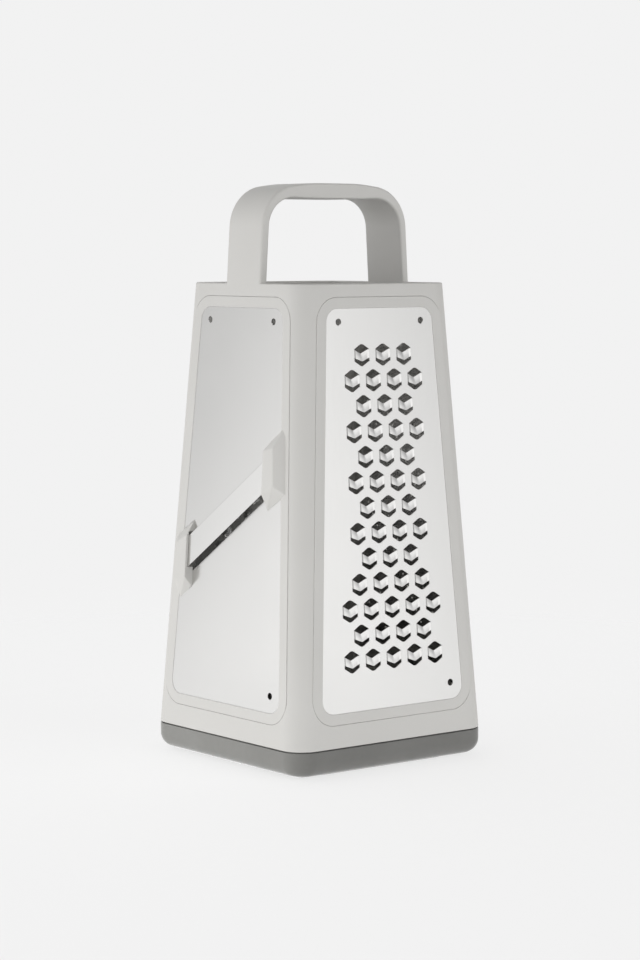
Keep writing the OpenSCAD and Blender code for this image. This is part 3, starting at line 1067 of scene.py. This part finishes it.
def blade_profile():
    """The blade's section: down from the crease, and out of the plate."""
    bend = corner_arc(
        (LAP_FIT, -LAP_FIT), (RAMP_W, BLADE_LIFT), (BLADE_W, BLADE_LIFT), BEND_SOFT_R, steps=6
    )
    under = corner_arc(
        (BLADE_W, BLADE_LIFT - BLADE_T), (RAMP_W + BLADE_T / 2, BLADE_LIFT - BLADE_T),
        (0, -PLATE_T - BLADE_T), BEND_SOFT_R / 2, steps=6,
    )
    points = [(-LAP, -PLATE_T), (LAP_FIT, -PLATE_T), (LAP_FIT, -LAP_FIT), *bend]
    points += [(BLADE_W, BLADE_LIFT), (BLADE_W, BLADE_LIFT - EDGE_T)]
    points += [(BLADE_W - GRIND_W, BLADE_LIFT - BLADE_T), *under]
    return points + [(0, -PLATE_T - BLADE_T), (-LAP, -PLATE_T - BLADE_T)]


def blade_end(x):
    """The blade's section where it lies x to the side of its middle."""
    return [Vector((*along_blade(x, CREASE_V - p[0]), p[1] - PLATE_DROP)) for p in blade_profile()]


blade = put("slicer_blade", skin("slicer_blade", [blade_end(-END_X), blade_end(END_X)], closed=False))
blade.data.transform(on_face(LEFT))
shade(blade, FACET_SHARP_DEGREES)
finish_piece(blade, blade_steel, "tower", "blade_steel", "slicing_blade")

# %% [markdown]
# ## Foot ring
#
# The ring under the tower is one soft moulding: a tread to stand on, a well rounded lower edge, a
# narrow shadow gap below the tower and a lip that stands inside it. Behind its soft bead the gap
# opens into a deeper trench, which keeps the seam dark. All of that is one profile carried round the
# rounded square, so it is again a closed skin.

# %% Foot ring skin
RING_EDGE_R = 6.5 * MM
RING_T = 12 * MM
LIP_H = 8 * MM
LIP_FIT = 0.3 * MM
LIP_T = 1.6 * MM
LIP_OUT = WALL_T + LIP_FIT
LIP_IN = LIP_OUT + LIP_T
LIP_OUTER_R = CORNER_R - WALL_T
LIP_INNER_R = LIP_OUTER_R - LIP_T / 2
BORE_EDGE = 0.3 * MM
TREAD_EDGE = 0.2 * MM
TREAD_H = 1 * MM
TREAD_INSET = 9 * MM
TREAD_R = 14 * MM
BEAD_R = 0.25 * MM
SEAM_H = 0.5 * MM
SEAM_DEEP = 1.6 * MM
TRENCH_H = 3 * SEAM_H


def foot_outline(z, inset, radius):
    """The ring's outline at a height above the table, inset from its outside."""
    return at_height(rounded(square(BASE_W / 2 - inset), radius, CORNER_STEPS), z)


lip_lean = LIP_H * math.tan(TAPER)
profile = [
    (BORE_EDGE, RING_T, CORNER_R), (0, RING_T - BORE_EDGE, CORNER_R),
    (0, TREAD_INSET + TREAD_EDGE, TREAD_R), (TREAD_EDGE, TREAD_INSET, TREAD_R),
    (TREAD_H, TREAD_INSET, TREAD_R),
]
for side, drop in quarter(12):
    inset = RING_EDGE_R * (1 - side)
    profile.append((TREAD_H + RING_EDGE_R * drop, inset, CORNER_R - inset))
for side, drop in quarter(5):
    inset = BEAD_R * drop
    profile.append((RING_H - SEAM_H - BEAD_R * (1 - side), inset, CORNER_R - inset))
profile += [
    (RING_H - TRENCH_H, SEAM_DEEP, CORNER_R - SEAM_DEEP), (RING_H, SEAM_DEEP, CORNER_R - SEAM_DEEP),
    (RING_H, LIP_OUT, LIP_OUTER_R), (RING_H + LIP_H, LIP_OUT + lip_lean, LIP_OUTER_R),
    (RING_H + LIP_H, LIP_IN + lip_lean, LIP_INNER_R), (RING_H, LIP_IN, LIP_INNER_R),
    (RING_H / 2, RING_T, CORNER_R),
]
ring_rings = [foot_outline(*point) for point in profile]
foot_ring = put("foot_ring", skin("foot_ring", ring_rings, closed=True))
finish_piece(shade(foot_ring), ring_rubber, "ring", "ring_rubber", "base_ring")

# %% [markdown]
# ## Camera
#
# The camera stands a little above the rim and looks at one corner of the tower with a long lens.
# Its place and aim come from fitting the tower's edges, so nothing is shifted.

# %% Camera
LENS = 99.71
SENSOR_W = 36
CAMERA_AT = Vector((-0.72227, -0.91572, 0.22368))
LOOKS_ALONG = Vector((0.6173, 0.7818, -0.0880))


def aim(thing, at, along):
    """Stands a thing at a place and turns it to look along a direction."""
    thing.location = at
    thing.rotation_mode = "QUATERNION"
    thing.rotation_quaternion = along.to_track_quat("-Z", "Y")


camera = put("camera", bpy.data.cameras.new("camera"))
camera.data.lens = LENS
camera.data.sensor_width = SENSOR_W
aim(camera, CAMERA_AT, LOOKS_ALONG)
bpy.context.scene.camera = camera

# %% [markdown]
# ## Studio
#
# The grater stands on a pale table that glows a little from below, as a product photographer's
# does, so its shadow is faint. Where the table lies inside the foot ring it is painted near black
# and does not glow, a painted shade that keeps the inside of the grater dim. It fades out with
# distance, so that no horizon shows.

# %% Table
WHITE = (1, 1, 1, 1)
FLOOR_R = 3.0
FLOOR_STEPS = 96
FLOOR_ALBEDO = 0.35
FLOOR_GLOW = 0.70
# Inside the foot ring the table is painted near black and gets no glow: painted shade under the grater.
PAINTED_SHADE_ALBEDO = 0.03
PAINTED_SHADE_SHARE = 0.82
PAINTED_SHADE_CORE_SHARE = 0.95
PAINTED_SHADE_TO = PAINTED_SHADE_SHARE * BASE_W / 2
PAINTED_SHADE_FROM = PAINTED_SHADE_CORE_SHARE * PAINTED_SHADE_TO
FADE_FROM, FADE_TO = 0.12, 0.75

floor_rim = [(*p, 0) for p in circle(0, 0, FLOOR_R, FLOOR_STEPS)]
floor = put("floor", new_mesh("floor", floor_rim, [], [tuple(range(FLOOR_STEPS))]))
floor_finish, tree, shader = new_finish("floor_paper")
set_up(tree, shader, Roughness=0.9, Specular_IOR_Level=0.1, Emission_Color=WHITE)


def show_mix(tree, factor, first, second, output):
    """Sends a mix of two shaders to an output."""
    mix = wire(tree, "ShaderNodeMixShader", factor, first.outputs[0], second.outputs[0])
    set_up(tree, output, Surface=mix.outputs["Shader"])


place = add(tree, "ShaderNodeTexCoord").outputs["Object"]
parts = add(tree, "ShaderNodeSeparateXYZ", Vector=place)
out_x = work_out(tree, "ABSOLUTE", parts.outputs["X"])
out_y = work_out(tree, "ABSOLUTE", parts.outputs["Y"])
reach = work_out(tree, "MAXIMUM", out_x, out_y)
# Glow and colour both fall to the painted shade inside the foot ring.
glow = span(tree, reach, PAINTED_SHADE_FROM, PAINTED_SHADE_TO, 0.0, FLOOR_GLOW)
albedo = span(tree, reach, PAINTED_SHADE_FROM, PAINTED_SHADE_TO, PAINTED_SHADE_ALBEDO, FLOOR_ALBEDO)
set_up(tree, shader, Emission_Strength=glow, Base_Color=albedo)
far = wire(tree, "ShaderNodeVectorMath", place, operation="LENGTH").outputs["Value"]
faded = span(tree, far, FADE_FROM, FADE_TO)
clear = add(tree, "ShaderNodeBsdfTransparent")
show_mix(tree, faded, shader, clear, tree.nodes["Material Output"])
floor.data.materials.append(floor_finish)
print("table level", FLOOR_GLOW, "plus what it scatters")

# %% [markdown]
# The room is the world: two broad soft lights, one behind the grater on its left and one in front
# on its right, in a dim room that is darker overhead and below the table. Camera rays see the plain
# backdrop, and so do reflections where no card stands in their way.

# %% World
BACKDROP = 0.887
ROOM = 0.23
LEFT_LIGHT = {"from": (-0.602, 0.797, 0.05), "level": 1.28, "reach": -0.9}
RIGHT_LIGHT = {"from": (0.407, -0.912, 0.05), "level": 1.95, "reach": 0.61}
OVERHEAD_SHARE = 0.38
OVERHEAD_FROM, OVERHEAD_TO = 0.05, 0.75
UNDER_SHARE = 0.50
UNDER_TO = -0.12

world = bpy.data.worlds.new("studio")
bpy.context.scene.world = world
world.use_nodes = True
tree = world.node_tree
tree.nodes.clear()
direction = add(tree, "ShaderNodeTexCoord").outputs["Generated"]


def part_along(tree, place, axis):
    """How far a place lies along an axis."""
    return wire(tree, "ShaderNodeVectorMath", place, axis, operation="DOT_PRODUCT").outputs["Value"]


def soft_light(light):
    """The level that one broad light gives to each direction. Its reach is where it fades to none."""
    facing = part_along(tree, direction, Vector(light["from"]).normalized())
    return span(tree, facing, light["reach"], 1.0, 0.0, light["level"])


lights = work_out(tree, "ADD", soft_light(LEFT_LIGHT), soft_light(RIGHT_LIGHT))
level = work_out(tree, "ADD", lights, ROOM)
height = add(tree, "ShaderNodeSeparateXYZ", Vector=direction).outputs["Z"]
overhead = span(tree, height, OVERHEAD_FROM, OVERHEAD_TO, 1.0, OVERHEAD_SHARE)
under = span(tree, height, UNDER_TO, 0.0, UNDER_SHARE, 1.0)
lit = work_out(tree, "MULTIPLY", work_out(tree, "MULTIPLY", level, overhead), under)
rays = tree.nodes.new("ShaderNodeLightPath")
seen = work_out(tree, "MAXIMUM", rays.outputs["Is Camera Ray"], rays.outputs["Is Glossy Ray"])
room = add(tree, "ShaderNodeBackground", Color=WHITE, Strength=lit)
backdrop = add(tree, "ShaderNodeBackground", Color=WHITE, Strength=BACKDROP)
show_mix(tree, seen, room, backdrop, tree.nodes.new("ShaderNodeOutputWorld"))
print("room level", ROOM, "with lights of", LEFT_LIGHT["level"], "and", RIGHT_LIGHT["level"])

# %% [markdown]
# Satin steel shows what stands round it. One graded card faces each visible plate from the side
# that the camera sees in it. Only reflections see the cards: they throw no shade and light nothing
# matt. A card's level changes evenly across and up it, between a least and a most, which draws the
# soft gradients over the plates and the darker flanks of the teeth.

# %% Graded cards
CARD_W, CARD_H = 1.1, 0.8
CARD_MOST = 1.1


def graded_card(name, at, towards, level, across, up, least):
    """A card whose level changes by so much per metre across and up it, and is held above a least."""
    finish = bpy.data.materials.new(name)
    finish.use_nodes = True
    tree = finish.node_tree
    tree.nodes.clear()
    place = add(tree, "ShaderNodeTexCoord").outputs["Object"]
    graded = work_out(tree, "ADD", part_along(tree, place, (across, up, 0)), level)
    held = work_out(tree, "MINIMUM", work_out(tree, "MAXIMUM", graded, least), CARD_MOST)
    glow = add(tree, "ShaderNodeEmission", Strength=held)
    add(tree, "ShaderNodeOutputMaterial", Surface=glow.outputs["Emission"])
    w, h = CARD_W / 2, CARD_H / 2
    corners = [(-w, -h, 0), (w, -h, 0), (w, h, 0), (-w, h, 0)]
    card = put(name, new_mesh(name, corners, [], [(0, 1, 2, 3)]))
    card.data.materials.append(finish)
    aim(card, at, Vector(at) - Vector(towards))
    card.visible_camera = card.visible_diffuse = card.visible_shadow = card.visible_transmission = False


graded_card(
    "front_card", at=(0.287, -0.395, 0.11), towards=(0, -0.048, 0.11),
    level=0.97, across=2.3, up=-0.6, least=0.4,
)
graded_card(
    "left_card", at=(-0.287, 0.320, 0.11), towards=(-0.048, 0, 0.11),
    level=0.86, across=-3.8, up=-1.5, least=0.6,
)
print("cards:", CARD_W, "by", CARD_H, "m")

# %% [markdown]
# Two low strips of light stand on the slicing side. The key lifts the lower part of the tower, and
# the foot lamp lifts the dark rubber of the ring. Light linking lets them light the grater alone, so
# they draw no bright pool on the table, and neither shows in the steel.


# %% Low lamps
def low_lamp(name, at, towards, wide, tall, power, pieces):
    """A low soft strip that lights some pieces and leaves the table alone."""
    lamp = put(name, bpy.data.lights.new(name, "AREA"))
    lamp.data.shape = "RECTANGLE"
    lamp.data.size, lamp.data.size_y = wide, tall
    lamp.data.energy = power
    aim(lamp, at, Vector(towards) - Vector(at))
    lamp.visible_glossy = lamp.visible_camera = False
    receivers = bpy.data.collections.new("lit by " + name)
    for piece in pieces:
        receivers.objects.link(piece)
    lamp.light_linking.receiver_collection = receivers
    print(name, "lights", len(pieces), "pieces")


low_lamp(
    "key", at=(-0.44, 0.02, 0.05), towards=(0, 0, 0.05), wide=0.25, tall=0.08, power=0.40,
    pieces=PIECES,
)
low_lamp(
    "foot lamp", at=(-0.3, 0.1, 0.03), towards=(-0.05, 0, 0.01), wide=0.3, tall=0.05, power=0.44,
    pieces=[foot_ring],
)

# %% [markdown]
# ## Finish
#
# The view transform stays Standard, so a colour renders as it is written.

# %% Tidy up and finish
bpy.data.objects.remove(plate_loops)
bpy.context.scene.view_settings.view_transform = "Standard"
